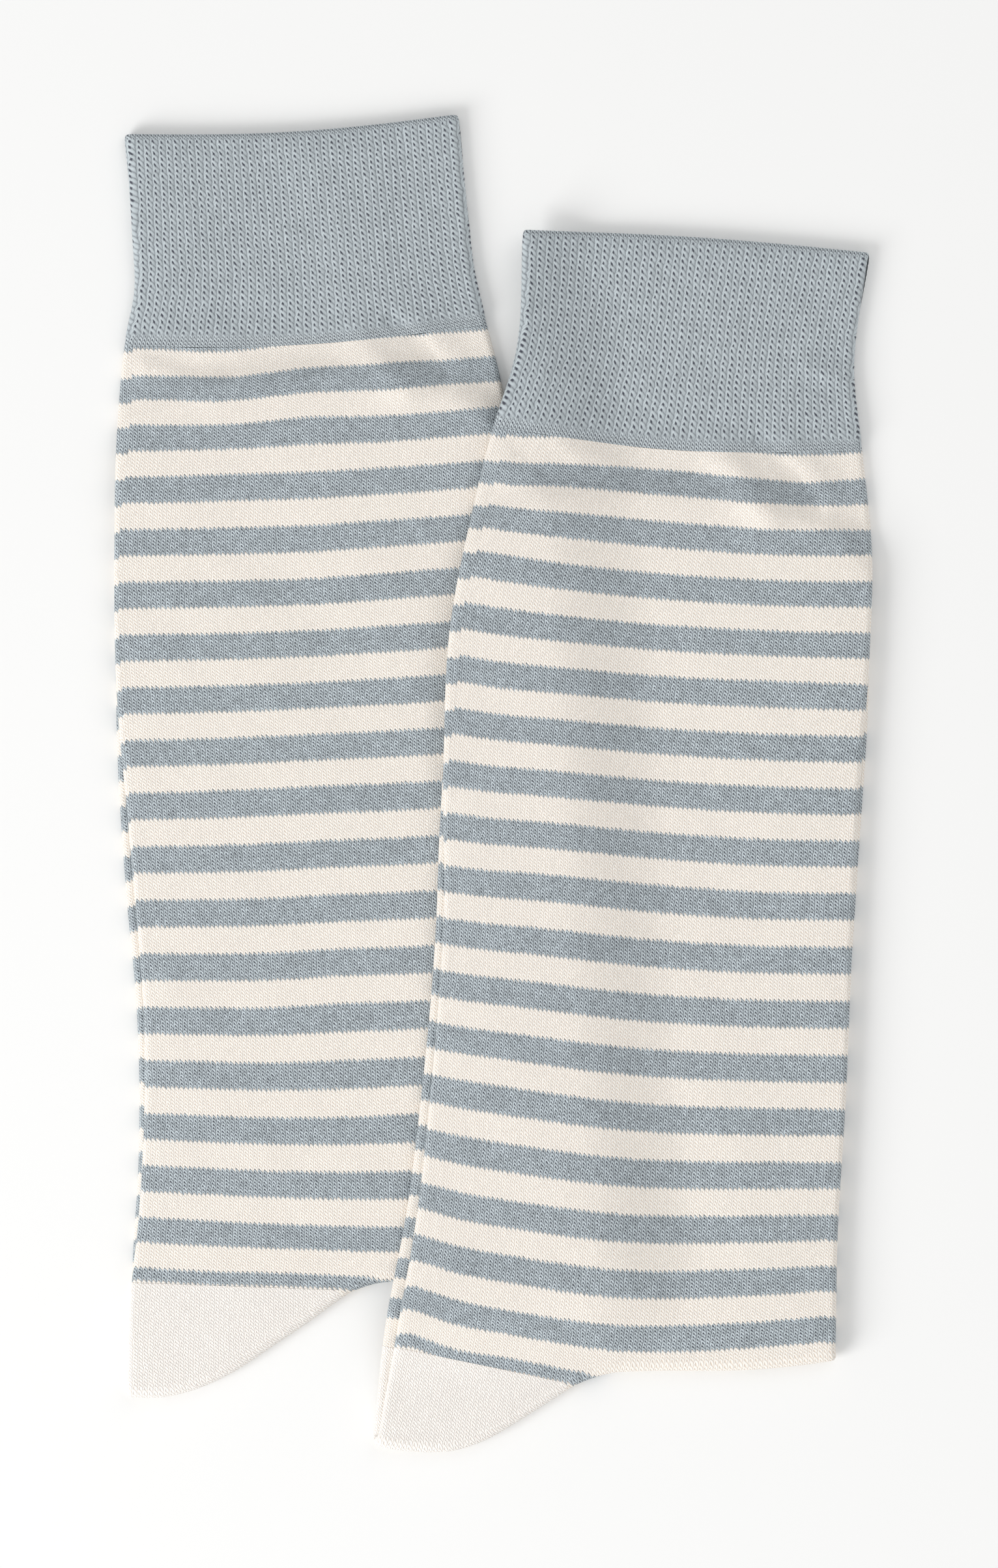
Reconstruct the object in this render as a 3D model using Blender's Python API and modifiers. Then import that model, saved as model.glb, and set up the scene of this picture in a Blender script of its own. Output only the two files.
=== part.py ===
"""A pair of mid-calf dress socks, laid flat, the right sock resting on the edge of the left one.

Each sock is knitted as one tube in five zones: ribbed cuff, leg, heel, foot and toe. It lies pressed
flat with its foot folded back behind its leg, toe up. The fold runs across the instep and then down the
heel's gore, so the heel stands out as an ear at the lower left corner. Cuff, leg and heel are walls
around a flattened tube. The foot and the toe, which the leg hides, are solids of their two layers.

A sock has its own frame: x across it, and y up the leg from the middle of the cuff's top edge, so that
"down" in the tables is -y. Tables and sizes are in millimetres.
"""

import math
from collections import namedtuple

import bmesh
import bpy
import numpy as np

MM = 0.001

# The cloth and the stack that it makes
JERSEY = 1.0  # wall of the plain knit
RIB = 1.5  # wall of the ribbed cuff
GAP = 0.3  # between two layers, and between two zones
JERSEY_TUBE = 2 * JERSEY + GAP  # a flattened tube of plain knit
RIB_TUBE = 2 * RIB + GAP  # the flattened cuff
STACK = 2 * JERSEY_TUBE + GAP  # a leg lying on its own foot
TURN = (JERSEY_TUBE + GAP) / 2  # radius of the fold at the middle of the tube
DRAPE = 24.0  # how far a sock takes to fall off the one it lies on
SLOPE = 8.0  # how far a leg takes to fall off the toe below it
HOLD = 4.5  # how far past an edge a layer stays up before it falls
RUN_ON = 1.0  # how far the instep runs on flat under the sock, past the fold
GORE_GAP = 0.8  # between the instep and the heel, round the fold

# The toe, which lies just below the cuff
TOE_TIP = 64.0
TOE_SEAM = 106.0
TOE_ROUND = 3.2  # power of the curve that rounds the toe: 2 is an ellipse
TOE_ROWS = [
    # share of the toe's length, share of its thickness
    (0, 1),
    (0.45, 1),
    (0.72, 1),
    (0.9, 1),
    (0.97, 0.9),
    (0.985, 0.6),
    (0.99, 0),
]

# How finely the cloth is divided
ARC_STEPS = 3  # round each side edge
TURN_STEPS = 4  # round the fold
HEEL_STEPS = 2  # from the heel's first row to the fold
CUFF_ROWS = [0, 0.35, 0.68, 1]  # shares of the cuff's length
TOE_COVER_ROWS = [53, 57, 61, 65, 76, 88, TOE_SEAM]  # down the leg, over the toe
WELD = 0.001  # points nearer than this are one

PAIR = "pair_of_socks"

Section = namedtuple("Section", "down left right")
FoldPoint = namedtuple("FoldPoint", "across down")
Sock = namedtuple(
    "Sock",
    "name cuff_top lean_deg rim_dip cuff_end cuff_bow heel_top heel_slope gore_end leg foot fold"
    " heel_columns near_columns far_columns near_share rows last_rows",
)

LEFT = Sock(
    name="left",
    cuff_top=(-45.70, 149.15),
    lean_deg=3.40,
    rim_dip=1.6,
    cuff_end=47.9,
    cuff_bow=2.0,
    heel_top=259.6,
    heel_slope=0.09,
    gore_end=-5.2,
    leg=[
        #       down   left  right
        Section(0, -37.8, 37.8),
        Section(23, -37.3, 38.6),
        Section(35, -37.5, 39.3),
        Section(48, -40.7, 41.5),
        Section(60, -42.6, 43.8),
        Section(92, -45.5, 46.3),
        Section(125, -47.0, 47.0),
        Section(161, -46.0, 46.6),
        Section(205, -45.4, 46.6),
        Section(245, -49.1, 47.6),
        Section(262, -51.9, 48.2),
        Section(287, -54.2, 48.6),
    ],
    foot=[
        Section(64, -43.0, 42.5),
        Section(100, -45.3, 46.0),
        Section(135, -47.6, 46.8),
        Section(172, -47.6, 46.8),
        Section(197, -46.8, 46.4),
        Section(231, -48.3, 46.9),
        Section(253, -50.9, 47.8),
        Section(287, -54.3, 48.6),
    ],
    fold=[
        #       across   down
        FoldPoint(-55.0, 285.2),
        FoldPoint(-46.0, 285.8),
        FoldPoint(-38.0, 284.3),
        FoldPoint(-30.5, 281.4),
        FoldPoint(-19.6, 275.2),
        FoldPoint(-12.3, 270.9),
        FoldPoint(-7.3, 267.7),
        FoldPoint(-2.2, 264.7),
        FoldPoint(3.0, 263.1),
        FoldPoint(9.0, 262.7),
        FoldPoint(22.0, 262.0),
        FoldPoint(36.0, 260.6),
        FoldPoint(49.0, 258.8),
    ],
    heel_columns=8,
    near_columns=2,
    far_columns=4,
    near_share=0.2,
    rows=[150, 190, 230],
    last_rows=2,
)

RIGHT = Sock(
    name="right",
    cuff_top=(45.95, 122.75),
    lean_deg=-3.70,
    rim_dip=-0.9,
    cuff_end=45.0,
    cuff_bow=2.5,
    heel_top=254.2,
    heel_slope=0.138,
    gore_end=-13.2,
    leg=[
        Section(0, -39.2, 39.2),
        Section(28, -39.1, 37.5),
        Section(45, -43.2, 40.5),
        Section(66, -46.9, 44.0),
        Section(90, -49.9, 45.1),
        Section(120, -49.5, 44.9),
        Section(156, -47.2, 45.4),
        Section(190, -47.4, 46.2),
        Section(223, -48.8, 46.4),
        Section(250, -51.6, 47.6),
        Section(278, -54.8, 48.0),
    ],
    foot=[
        Section(64, -45.5, 43.5),
        Section(95, -48.5, 45.4),
        Section(139, -49.3, 45.6),
        Section(156, -48.8, 45.6),
        Section(199, -49.7, 45.9),
        Section(223, -51.2, 46.3),
        Section(250, -54.4, 47.5),
        Section(278, -55.5, 48.0),
    ],
    fold=[
        FoldPoint(-56.0, 276.0),
        FoldPoint(-53.0, 276.9),
        FoldPoint(-45.5, 277.5),
        FoldPoint(-36.0, 276.5),
        FoldPoint(-28.8, 273.4),
        FoldPoint(-22.5, 269.2),
        FoldPoint(-15.5, 264.2),
        FoldPoint(-9.2, 259.8),
        FoldPoint(-3.0, 257.2),
        FoldPoint(6.0, 255.9),
        FoldPoint(19.0, 255.0),
        FoldPoint(30.0, 254.0),
        FoldPoint(41.0, 252.2),
        FoldPoint(49.0, 250.5),
    ],
    heel_columns=10,
    near_columns=4,
    far_columns=3,
    near_share=0.35,
    rows=[130, 155, 180, 205, 230],
    last_rows=4,
)

# Base colour and roughness of each kind of knit
FINISHES = {
    "rib_blue_grey": ((0.36, 0.46, 0.50), 0.95),
    "striped_jersey": ((0.55, 0.58, 0.58), 0.95),
    "plain_cream": ((0.87, 0.82, 0.76), 0.95),
}


# Reading the tables


def through(xs, ys, x):
    """The smooth curve through the points (xs, ys), read at x and held level beyond its ends."""
    xs, ys = np.asarray(xs, float), np.asarray(ys, float)
    x = np.clip(x, xs[0], xs[-1])
    slopes = np.gradient(ys, xs)
    i = np.clip(np.searchsorted(xs, x, side="right") - 1, 0, len(xs) - 2)
    width = xs[i + 1] - xs[i]
    s = (x - xs[i]) / width
    rise = ys[i] * (1 - s) ** 2 * (1 + 2 * s) + ys[i + 1] * s**2 * (3 - 2 * s)
    return rise + width * s * (1 - s) * (slopes[i] * (1 - s) - slopes[i + 1] * s)


def edges_at(sections, down):
    """Left and right edge of a tube at this distance down."""
    downs = [section.down for section in sections]
    left = through(downs, [section.left for section in sections], down)
    right = through(downs, [section.right for section in sections], down)
    return left, right


def foot_edges_at(sock, down):
    """Left and right edge of the foot, which closes in over the toe's end."""
    left, right = edges_at(sock.foot, down)
    into_toe = np.clip((TOE_SEAM - down) / (TOE_SEAM - TOE_TIP), 0, 1)
    narrow = (1 - into_toe**TOE_ROUND) ** (1 / TOE_ROUND)
    middle, half = (left + right) / 2, (right - left) / 2
    return middle - half * narrow, middle + half * narrow


def fold_at(sock, across):
    """How far down the folded edge lies, and its slope."""
    xs = [point.across for point in sock.fold]
    ys = [point.down for point in sock.fold]
    step = 0.5
    before, after = through(xs, ys, across - step), through(xs, ys, across + step)
    return through(xs, ys, across), (after - before) / (2 * step)


def cuff_end_at(sock, share):
    """How far down the cuff ends: its last row bows downwards in the middle."""
    return sock.cuff_end + sock.cuff_bow * np.sin(math.pi * share)


def heel_top_at(sock, across):
    """How far down the heel's first row lies."""
    return sock.heel_top + sock.heel_slope * (across - sock.leg[-2].left)


# Draping


def to_plan(sock, across, down):
    """World x and y of a point given in the sock's own frame."""
    lean = math.radians(sock.lean_deg)
    x = sock.cuff_top[0] + across * math.cos(lean) + down * math.sin(lean)
    y = sock.cuff_top[1] + across * math.sin(lean) - down * math.cos(lean)
    return np.stack([x, y], axis=-1)


def depth_inside(outline, points):
    """How far each plan point lies inside a closed outline. It is negative outside."""
    flat = points.reshape(-1, 1, 2)
    step = np.roll(outline, -1, axis=0) - outline
    offset = flat - outline
    along = np.clip((offset * step).sum(-1) / (step**2).sum(-1), 0, 1)
    distance = np.linalg.norm(offset - along[..., None] * step, axis=-1).min(1)
    level = (offset[..., 1] >= 0) != (offset[..., 1] >= step[:, 1])
    rise = np.where(step[:, 1] == 0, 1, step[:, 1])
    ahead = offset[..., 0] < offset[..., 1] * step[:, 0] / rise
    inside = (level & ahead).sum(1) % 2 == 1
    return np.where(inside, distance, -distance).reshape(points.shape[:-1])


def fall(depth, reach):
    """1 over what lies below and just past its edge, then easing to 0 over this reach."""
    s = np.clip(1 + (depth + HOLD) / reach, 0, 1)
    return s * s * (3 - 2 * s)


def packet_outline(sock):
    """The plan outline of the whole folded sock."""
    down = np.linspace(0, sock.fold[-1].down, 40)
    left_down = np.linspace(0, sock.fold[0].down, 40)
    across = np.linspace(sock.fold[0].across + 1, sock.fold[-1].across - 1, 40)
    left = to_plan(sock, edges_at(sock.leg, left_down)[0], left_down)
    right = to_plan(sock, edges_at(sock.leg, down)[1], down)
    bottom = to_plan(sock, across, fold_at(sock, across)[0])
    return np.concatenate([left, bottom, right[::-1]])


def foot_outline(sock):
    """The plan outline of the folded foot, toe and all."""
    down = TOE_TIP + (sock.fold[0].down - TOE_TIP) * np.linspace(0, 1, 80) ** 1.5
    left, right = foot_edges_at(sock, down)
    return np.concatenate([to_plan(sock, left, down), to_plan(sock, right, down)[:0:-1]])


def ground(sock, plan):
    """Height of what the sock lies on: the floor, or the other sock."""
    if sock is LEFT:
        return np.zeros(plan.shape[:-1])
    return (STACK + GAP) * fall(depth_inside(packet_outline(LEFT), plan), DRAPE)


def lift(sock, plan):
    """How far the sock's own foot holds its leg up."""
    return (JERSEY_TUBE + GAP) * fall(depth_inside(foot_outline(sock), plan), SLOPE)


# The ring of columns round a flattened tube


def across_shares(sock, gore):
    """Shares of the width at which columns lie: close together to the left, where the cloth drapes."""
    near_end = gore + sock.near_share * (1 - gore)
    heel = np.linspace(0, gore, sock.heel_columns + 1)
    near = np.linspace(gore, near_end, sock.near_columns + 1)
    far = np.linspace(near_end, 1, sock.far_columns + 1)
    return heel, np.concatenate([near, far[1:]])


def gore_share(sock):
    """Share of the width at which the heel's gore ends, on the fold."""
    left, right = edges_at(sock.leg, sock.heel_top)
    return float((sock.gore_end - left) / (right - left))


def rings(sock, half):
    """Columns as rows of (share, sideways, out): first round the heel's half, then round the instep's.

    share is the place across the tube, out is the height over its middle, and sideways is the bulge of
    the rounded side edges."""
    heel, instep = across_shares(sock, gore_share(sock))
    turn = np.linspace(0, math.pi, ARC_STEPS + 1)[1:-1]
    left_arc = [(0, -half * math.sin(a), half * math.cos(a)) for a in turn]
    right_arc = [(1, half * math.sin(a), -half * math.cos(a)) for a in turn]
    heel_half = [(s, 0, half) for s in heel[::-1]] + left_arc + [(s, 0, -half) for s in heel]
    instep_half = [(s, 0, -half) for s in instep] + right_arc + [(s, 0, half) for s in instep[::-1]]
    return np.array(heel_half), np.array(instep_half)


def column_at(edges, column, tube):
    """Distance across of ring columns, between the edges of a tube this thick."""
    left, right = edges
    share, sideways = column[..., 0], column[..., 1]
    return left + tube / 2 + share * (right - left - tube) + sideways


# Points on the cloth. Each takes ring columns and gives (across, down, height).


def fold_axis(sock, column):
    """Where each column meets the line that the fold turns about, and the way out from that line."""
    down = np.full(column.shape[:-1], sock.fold[-1].down)
    for _ in range(6):
        across = column_at(edges_at(sock.leg, down), column, JERSEY_TUBE)
        edge, slope = fold_at(sock, across)
        steepness = np.sqrt(1 + slope**2)
        down = edge - STACK / 2 * steepness
    return across, down, -slope / steepness, 1 / steepness


def on_leg(sock, column, down):
    down = np.broadcast_to(down, column.shape[:-1])
    across = column_at(edges_at(sock.leg, down), column, JERSEY_TUBE)
    plan = to_plan(sock, across, down)
    height = ground(sock, plan) + lift(sock, plan) + JERSEY_TUBE / 2 + column[..., 2]
    return np.stack([across, down, height], axis=-1)


def on_fold(sock, column, angle):
    across, down, out_across, out_down = fold_axis(sock, column)
    foot_across = column_at(foot_edges_at(sock, down), column, JERSEY_TUBE)
    across = across + (foot_across - across) * angle / math.pi
    radius = TURN + column[..., 2]
    across = across + out_across * radius * math.sin(angle)
    down = down + out_down * radius * math.sin(angle)
    height = ground(sock, to_plan(sock, across, down)) + STACK / 2 + radius * math.cos(angle)
    return np.stack([across, down, height], axis=-1)


def on_foot(sock, column, down):
    down = np.broadcast_to(down, column.shape[:-1])
    across = column_at(foot_edges_at(sock, down), column, JERSEY_TUBE)
    height = ground(sock, to_plan(sock, across, down)) + JERSEY_TUBE / 2 - column[..., 2]
    return np.stack([across, down, height], axis=-1)


def between(start, end, shares):
    return [start + (end - start) * share for share in shares]


def rows_to(sock, end):
    """Rows down the cloth, the last few of them closing up on its end, which differs by column."""
    last = between(sock.rows[-1], end, np.linspace(0, 1, sock.last_rows + 1)[1:])
    return sock.rows + last


# Meshes


def lay_sheet(bm, rows, closed):
    """Adds a grid of faces through rows of points, joined round into a tube where it is closed."""
    points = np.array(rows)
    if closed:
        points = np.concatenate([points, points[:, :1]], axis=1)
    row_steps, column_steps = points.shape[0] - 1, points.shape[1] - 1
    made = bmesh.ops.create_grid(bm, x_segments=column_steps, y_segments=row_steps, size=0.5)
    for vert in made["verts"]:
        column = round((vert.co.x + 0.5) * column_steps)
        row = round((vert.co.y + 0.5) * row_steps)
        across, down, height = points[row, column]
        vert.co = (across * MM, -down * MM, height * MM)


def make_object(bm, sock, zone, finish):
    """Welds the mesh, turns its faces outwards and makes it an object in the sock's frame."""
    bmesh.ops.remove_doubles(bm, verts=bm.verts, dist=WELD * MM)
    bmesh.ops.recalc_face_normals(bm, faces=bm.faces)
    mesh = bpy.data.meshes.new(f"{sock.name}_{zone}")
    bm.to_mesh(mesh)
    bm.free()
    mesh.materials.append(bpy.data.materials[finish])
    mesh.shade_smooth()
    made = bpy.data.objects.new(mesh.name, mesh)
    bpy.data.collections[PAIR].objects.link(made)
    made.parent = bpy.data.objects[f"{sock.name}_sock"]
    return made


def give_wall(made, thickness):
    solidify = made.modifiers.new("wall", "SOLIDIFY")
    solidify.thickness = thickness * MM
    solidify.offset = 0
    solidify.use_even_offset = True


def make_cuff(sock):
    """The ribbed cuff: a thick tube pressed flat on the floor, open at the top."""
    ring = np.concatenate([half[:-1] for half in rings(sock, (RIB_TUBE - RIB) / 2)])
    rim = sock.rim_dip * np.sin(math.pi * ring[:, 0])
    end = cuff_end_at(sock, ring[:, 0]) - GAP / 2
    rows = []
    for down in between(rim, end, CUFF_ROWS):
        across = column_at(edges_at(sock.leg, down), ring, RIB_TUBE)
        height = ground(sock, to_plan(sock, across, down)) + RIB_TUBE / 2 + ring[:, 2]
        rows.append(np.stack([across, down, height], axis=-1))
    bm = bmesh.new()
    lay_sheet(bm, rows, closed=True)
    give_wall(make_object(bm, sock, "cuff", "rib_blue_grey"), RIB)


def make_leg(sock):
    """The leg: a tube down to the heel's first row, which on the instep's side goes on round the fold."""
    heel_half, instep_half = rings(sock, (JERSEY_TUBE - JERSEY) / 2)
    for half in (heel_half, instep_half):
        half[[0, -1], 1] += GORE_GAP / 2
    ring = np.concatenate([heel_half[:-1], instep_half[:-1]])
    across, end, _, _ = fold_axis(sock, ring)
    beside_heel = slice(0, len(heel_half))
    end[beside_heel] = heel_top_at(sock, across[beside_heel]) - GAP / 2
    start = cuff_end_at(sock, ring[:, 0]) + GAP / 2
    downs = [start] + TOE_COVER_ROWS + rows_to(sock, end)
    rows = [on_leg(sock, ring, down) for down in downs]
    bm = bmesh.new()
    lay_sheet(bm, rows, closed=True)

    _, fold, _, _ = fold_axis(sock, instep_half)
    last = np.concatenate([rows[-1][len(heel_half) - 1 :], rows[-1][:1]])
    turn = [on_fold(sock, instep_half, angle) for angle in turn_angles()[1:]]
    under = on_foot(sock, instep_half, fold - RUN_ON)
    lay_sheet(bm, [last] + turn + [under], closed=False)
    give_wall(make_object(bm, sock, "leg", "striped_jersey"), JERSEY)


def make_heel(sock):
    """The heel: a wall from its first row, round the fold down its gore, to its last row underneath."""
    heel_half, _ = rings(sock, (JERSEY_TUBE - JERSEY) / 2)
    heel_half[[0, -1], 1] -= GORE_GAP / 2
    across, fold, _, _ = fold_axis(sock, heel_half)
    first = heel_top_at(sock, across) + GAP / 2
    flat = np.linspace(0, 1, HEEL_STEPS + 1)[:-1]
    upper = [on_leg(sock, heel_half, down) for down in between(first, fold, flat)]
    turn = [on_fold(sock, heel_half, angle) for angle in turn_angles()]
    under = [on_foot(sock, heel_half, down) for down in between(first, fold, flat)]
    bm = bmesh.new()
    lay_sheet(bm, upper + turn + under[::-1], closed=False)
    give_wall(make_object(bm, sock, "heel", "plain_cream"), JERSEY)


def make_foot(sock):
    """The foot's two hidden layers, as one solid with rounded sides."""
    heel_half, instep_half = rings(sock, JERSEY_TUBE / 2)
    ring = np.concatenate([heel_half[:-1], instep_half[:-1]])
    across, fold, _, _ = fold_axis(sock, ring)
    after_instep = fold - RUN_ON - GAP
    after_heel = heel_top_at(sock, across) - GAP / 2
    end = np.minimum(after_instep, after_heel)
    in_heel = slice(1, len(heel_half) - 1)
    end[in_heel] = after_heel[in_heel]
    downs = [TOE_SEAM + GAP / 2] + rows_to(sock, end)
    rows = [on_foot(sock, ring, down) for down in downs]
    closed_at = ring * [1, 0, 0]
    rows = [on_foot(sock, closed_at, downs[0])] + rows + [on_foot(sock, closed_at, downs[-1])]
    bm = bmesh.new()
    lay_sheet(bm, rows, closed=True)
    make_object(bm, sock, "foot", "striped_jersey")


def make_toe(sock):
    """The toe, as one solid that rounds off at its end."""
    ring = np.concatenate([half[:-1] for half in rings(sock, JERSEY_TUBE / 2)])
    seam = TOE_SEAM - GAP / 2
    rows = [on_foot(sock, ring * [1, 0, 0], seam)]
    for share, thickness in TOE_ROWS:
        rows.append(on_foot(sock, ring * [1, thickness, thickness], seam + (TOE_TIP - seam) * share))
    bm = bmesh.new()
    lay_sheet(bm, rows, closed=True)
    make_object(bm, sock, "toe", "plain_cream")


def turn_angles():
    return np.linspace(0, math.pi, TURN_STEPS + 1)


# The scene


def clear_scene():
    for found in list(bpy.data.objects):
        bpy.data.objects.remove(found, do_unlink=True)


def make_material(name, colour, roughness):
    material = bpy.data.materials.new(name)
    material.use_nodes = True
    shader = material.node_tree.nodes["Principled BSDF"]
    shader.inputs["Base Color"].default_value = (*colour, 1)
    shader.inputs["Roughness"].default_value = roughness
    shader.inputs["Metallic"].default_value = 0
    material.diffuse_color = (*colour, 1)


def make_frame(sock):
    """An empty at the middle of the cuff's top edge, turned as the sock lies."""
    frame = bpy.data.objects.new(f"{sock.name}_sock", None)
    frame.location = (sock.cuff_top[0] * MM, sock.cuff_top[1] * MM, 0)
    frame.rotation_euler.z = math.radians(sock.lean_deg)
    frame.empty_display_size = 20 * MM
    bpy.data.collections[PAIR].objects.link(frame)


def main():
    clear_scene()
    bpy.context.scene.collection.children.link(bpy.data.collections.new(PAIR))
    for name, (colour, roughness) in FINISHES.items():
        make_material(name, colour, roughness)
    for sock in (LEFT, RIGHT):
        make_frame(sock)
        make_cuff(sock)
        make_leg(sock)
        make_heel(sock)
        make_foot(sock)
        make_toe(sock)


main()
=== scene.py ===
import math
from collections import namedtuple

import bmesh
import bpy
import numpy as np
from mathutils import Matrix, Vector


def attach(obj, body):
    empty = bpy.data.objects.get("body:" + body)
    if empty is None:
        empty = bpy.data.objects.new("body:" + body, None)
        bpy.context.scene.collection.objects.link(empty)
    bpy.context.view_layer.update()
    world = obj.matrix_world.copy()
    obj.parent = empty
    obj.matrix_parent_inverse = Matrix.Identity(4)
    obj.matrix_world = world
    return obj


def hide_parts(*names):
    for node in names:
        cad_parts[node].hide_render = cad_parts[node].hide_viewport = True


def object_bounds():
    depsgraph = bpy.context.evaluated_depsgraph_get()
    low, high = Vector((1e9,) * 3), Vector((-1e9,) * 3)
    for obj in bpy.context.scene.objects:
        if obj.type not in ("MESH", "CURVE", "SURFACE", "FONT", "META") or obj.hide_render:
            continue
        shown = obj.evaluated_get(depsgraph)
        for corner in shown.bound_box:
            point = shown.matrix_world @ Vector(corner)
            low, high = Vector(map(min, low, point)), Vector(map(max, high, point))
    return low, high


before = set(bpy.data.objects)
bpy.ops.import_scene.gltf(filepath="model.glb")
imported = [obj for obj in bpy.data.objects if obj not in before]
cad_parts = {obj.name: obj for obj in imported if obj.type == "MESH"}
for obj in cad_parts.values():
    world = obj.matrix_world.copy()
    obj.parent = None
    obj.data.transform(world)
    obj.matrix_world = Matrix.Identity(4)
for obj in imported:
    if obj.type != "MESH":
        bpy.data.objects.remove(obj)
cad_low, cad_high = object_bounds()

# ------------------------------------------------------------------------------
# The two legs. A leg is one tube of plain knit in fine combed cotton, in blue-grey and cream
# stripes that change yarn every eight courses. It lies pressed flat, wales running down it, and
# the instep's part of it turns under the sock round a fold.

MM = 0.001  # the tables are in millimetres
JERSEY = 1.0  # wall of the plain knit
GAP = 0.3  # between two layers
SEAM = 0.05  # between two zones of one tube
JERSEY_TUBE = 2 * JERSEY + GAP
WALL_MIDDLE = (JERSEY_TUBE - JERSEY) / 2  # from the tube's middle to the middle of its wall
STACK = 2 * JERSEY_TUBE + GAP  # a leg lying on its own foot
TURN = (JERSEY_TUBE + GAP) / 2  # radius of the fold at the middle of the tube
DRAPE = 24.0  # how far a sock takes to fall off the one it lies on
SLOPE = 8.0  # how far a leg takes to fall off the toe below it
HOLD = 4.5  # how far past an edge a layer stays up before it falls
RUN_ON = 1.0  # how far the instep runs on flat under the sock, past the fold
TOE_TIP = 64.0  # how far down, behind the leg, the toe's tip lies
TOE_SEAM = 106.0  # the same for the seam between toe and foot
TOE_ROUND = 3.2  # power of the curve that rounds the toe

COURSE = 0.757  # height of a course of plain knit
STRIPE = 16  # courses from one blue stripe to the next, half of them blue
THIN_STRIPE = 4  # courses in the last blue stripe, above the heel
STRIPES = 17  # wide blue stripes down the leg
HEEL_COURSE = STRIPE * STRIPES + THIN_STRIPE  # the course that the heel starts at
ARC_WALES = 3.0  # wales that go round a side edge

# Places on a sock are across it and down it, from the middle of its cuff's top edge.
Section = namedtuple("Section", "down left right")  # the tube's two edges
FoldPoint = namedtuple("FoldPoint", "across down")
Wales = namedtuple("Wales", "down left middle right")  # the wale that shows at each place
# How far down a blue stripe starts, at the six places that stripe_across gives.
Stripe = namedtuple("Stripe", "number edge near_edge left middle right far_edge")
Crease = namedtuple("Crease", "across down to_across to_down width height")  # a ridge or trough
Sock = namedtuple(
    "Sock",
    "name cuff_top lean_deg rim_dip cuff_end cuff_bow heel_top heel_slope gore_end leg foot fold"
    " wales stripe_across stripes jog creases foot_courses",
)

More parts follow.
